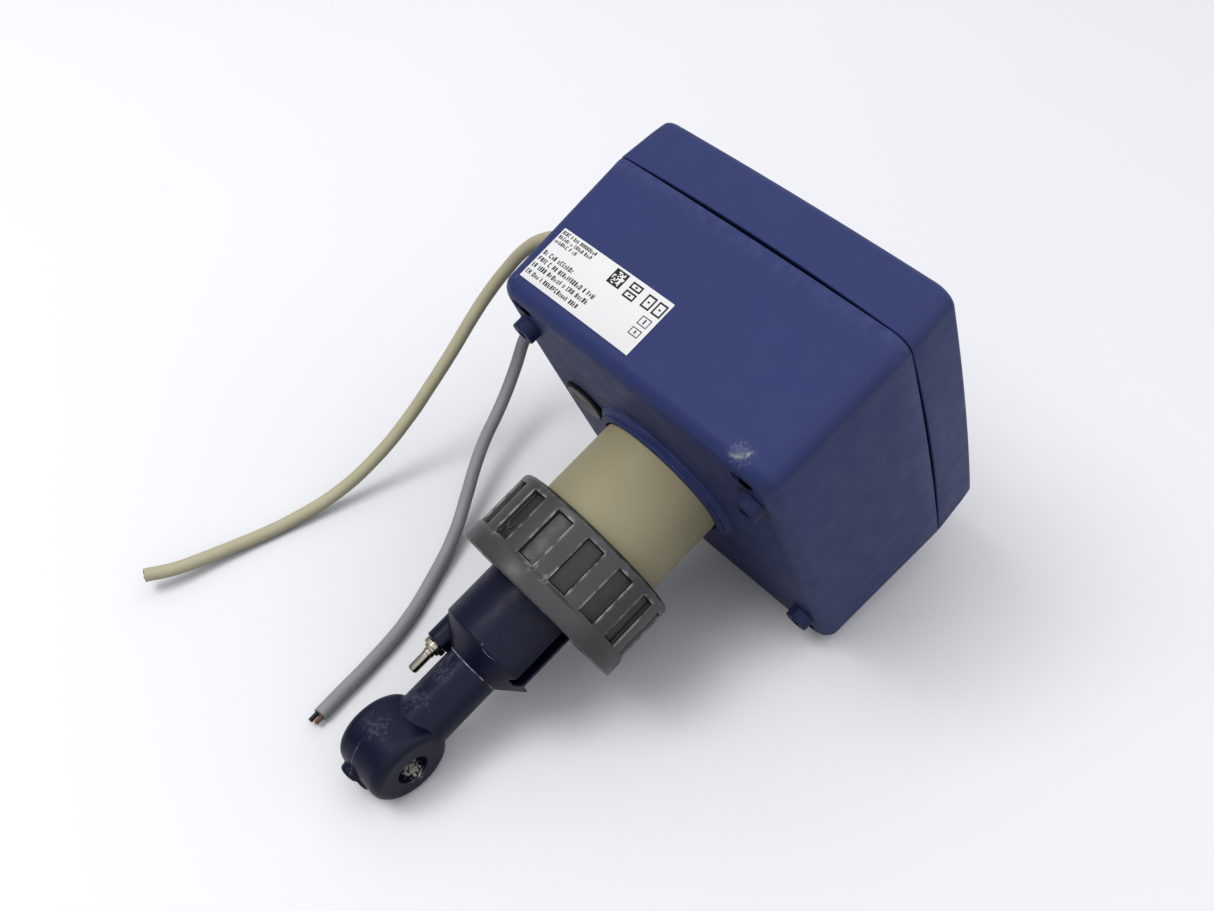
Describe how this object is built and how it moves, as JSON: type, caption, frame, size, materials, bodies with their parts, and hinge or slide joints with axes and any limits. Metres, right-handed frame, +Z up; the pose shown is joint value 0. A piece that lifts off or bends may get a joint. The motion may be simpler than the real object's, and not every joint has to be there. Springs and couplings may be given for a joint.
{
  "type": "inductive conductivity transmitter",
  "caption": "Inductive conductivity and temperature transmitter: screwed plastic electronics housing, stem with union nut, ring-headed immersion sensor and free cable tails.",
  "frame": {"origin": "middle of the underside of the box around the device as it lies on a flat surface, cables not counted", "axes": "+Z up; +X from the sensor tip towards the housing cover, along the device as it lies; +Y towards the side that the cables leave. The stem is tipped 21.85 degrees up from +X towards +Z"},
  "size_m": [0.288, 0.2242, 0.1798],
  "materials": {
    "housing": "semi-matte dark violet-blue moulded plastic",
    "sensor": "dark blue engineering plastic, light scratches",
    "tube": "natural beige engineering plastic, turned",
    "nut": "semi-gloss dark grey moulded plastic",
    "label": "white printed film",
    "grey_plastic": "grey moulded plastic",
    "rubber": "black elastomer",
    "steel": "turned stainless steel",
    "screw": "stainless steel fastener",
    "brass": "plain turned brass",
    "board": "circuit board with solder mask",
    "terminal": "green terminal plastic",
    "relay": "blue relay can",
    "black_plastic": "black potted module or lead",
    "window": "clear polycarbonate",
    "lcd": "glass-faced display module",
    "key": "light grey key cap",
    "copper": "enamelled copper winding",
    "beige_jacket": "beige cable jacket",
    "grey_jacket": "grey cable jacket",
    "core_black": "black conductor insulation",
    "core_brown": "brown conductor insulation"
  },
  "bodies": {
    "housing": {"base_housing": "housing", "cover_gasket": "rubber", "rating_label": "label", "blanking_plug": "grey_plastic", "plug_gasket": "rubber", "main_board": "board", "power_converter": "black_plastic", "display_board": "board", "lcd_panel": "lcd", "stem_seal": "rubber", "stem_tube": "tube", "stem_locknut": "grey_plastic", "process_o_ring": "rubber", "sensor_body": "sensor", "transmit_coil": "copper", "receive_coil": "copper", "temperature_probe": "steel", "sensor_lead": "black_plastic", "beige_cable": "beige_jacket", "grey_cable": "grey_jacket", "grey_core_black": "core_black", "grey_core_brown": "core_brown", "board_screw_1": "screw", "display_spacer_1": "brass", "board_screw_2": "screw", "display_spacer_2": "brass", "board_screw_3": "screw", "display_spacer_3": "brass", "board_screw_4": "screw", "display_spacer_4": "brass", "terminal_block_1": "terminal", "terminal_block_2": "terminal", "terminal_block_3": "terminal", "relay_1": "relay", "relay_2": "relay", "beige_gland_body": "grey_plastic", "beige_gland_locknut": "grey_plastic", "beige_gland_seal": "rubber", "grey_gland_body": "grey_plastic", "grey_gland_locknut": "grey_plastic", "grey_gland_seal": "rubber"},
    "slip_ring": {"slip_ring": "tube"},
    "union_nut": {"union_nut": "nut"},
    "cover": {"front_cover": "housing", "display_window": "window"},
    "cover_screw_1": {"cover_screw_1": "screw"},
    "cover_screw_2": {"cover_screw_2": "screw"},
    "cover_screw_3": {"cover_screw_3": "screw"},
    "cover_screw_4": {"cover_screw_4": "screw"},
    "beige_gland_nut": {"beige_gland_nut": "grey_plastic"},
    "grey_gland_nut": {"grey_gland_nut": "grey_plastic"},
    "key_1": {"key_1": "key"},
    "key_2": {"key_2": "key"},
    "key_3": {"key_3": "key"},
    "key_4": {"key_4": "key"}
  },
  "joints": [
    {"name": "nut_slide", "type": "slide", "parent": "housing", "child": "slip_ring", "axis": [0.9282, 0, 0.3721], "range_m": [0, 0.033]},
    {"name": "nut_spin", "type": "hinge", "parent": "slip_ring", "child": "union_nut", "pos_m": [-0.03295, -0.00735, 0.05086], "axis": [0.9282, 0, 0.3721], "continuous": true},
    {"name": "cover_lift", "type": "slide", "parent": "housing", "child": "cover", "axis": [0.9282, 0, 0.3721], "range_m": [0, 0.04]},
    {"name": "cover_screw_1_spin", "type": "hinge", "parent": "cover", "child": "cover_screw_1", "pos_m": [0.07496, 0.052, 0.16868], "axis": [0.9282, 0, 0.3721], "continuous": true},
    {"name": "cover_screw_2_spin", "type": "hinge", "parent": "cover", "child": "cover_screw_2", "pos_m": [0.07496, -0.072, 0.16868], "axis": [0.9282, 0, 0.3721], "continuous": true},
    {"name": "cover_screw_3_spin", "type": "hinge", "parent": "cover", "child": "cover_screw_3", "pos_m": [0.12743, -0.072, 0.03781], "axis": [0.9282, 0, 0.3721], "continuous": true},
    {"name": "cover_screw_4_spin", "type": "hinge", "parent": "cover", "child": "cover_screw_4", "pos_m": [0.12743, 0.052, 0.03781], "axis": [0.9282, 0, 0.3721], "continuous": true},
    {"name": "beige_gland_nut_spin", "type": "hinge", "parent": "housing", "child": "beige_gland_nut", "pos_m": [0.0529, 0.074, 0.11621], "axis": [0, 1, 0], "continuous": true},
    {"name": "grey_gland_nut_spin", "type": "hinge", "parent": "housing", "child": "grey_gland_nut", "pos_m": [0.06928, 0.074, 0.07537], "axis": [0, 1, 0], "continuous": true},
    {"name": "key_1_press", "type": "slide", "parent": "housing", "child": "key_1", "axis": [-0.9282, 0, -0.3721], "range_m": [0, 0.0008], "stiffness_N_per_m": 800},
    {"name": "key_2_press", "type": "slide", "parent": "housing", "child": "key_2", "axis": [-0.9282, 0, -0.3721], "range_m": [0, 0.0008], "stiffness_N_per_m": 800},
    {"name": "key_3_press", "type": "slide", "parent": "housing", "child": "key_3", "axis": [-0.9282, 0, -0.3721], "range_m": [0, 0.0008], "stiffness_N_per_m": 800},
    {"name": "key_4_press", "type": "slide", "parent": "housing", "child": "key_4", "axis": [-0.9282, 0, -0.3721], "range_m": [0, 0.0008], "stiffness_N_per_m": 800}
  ]
}
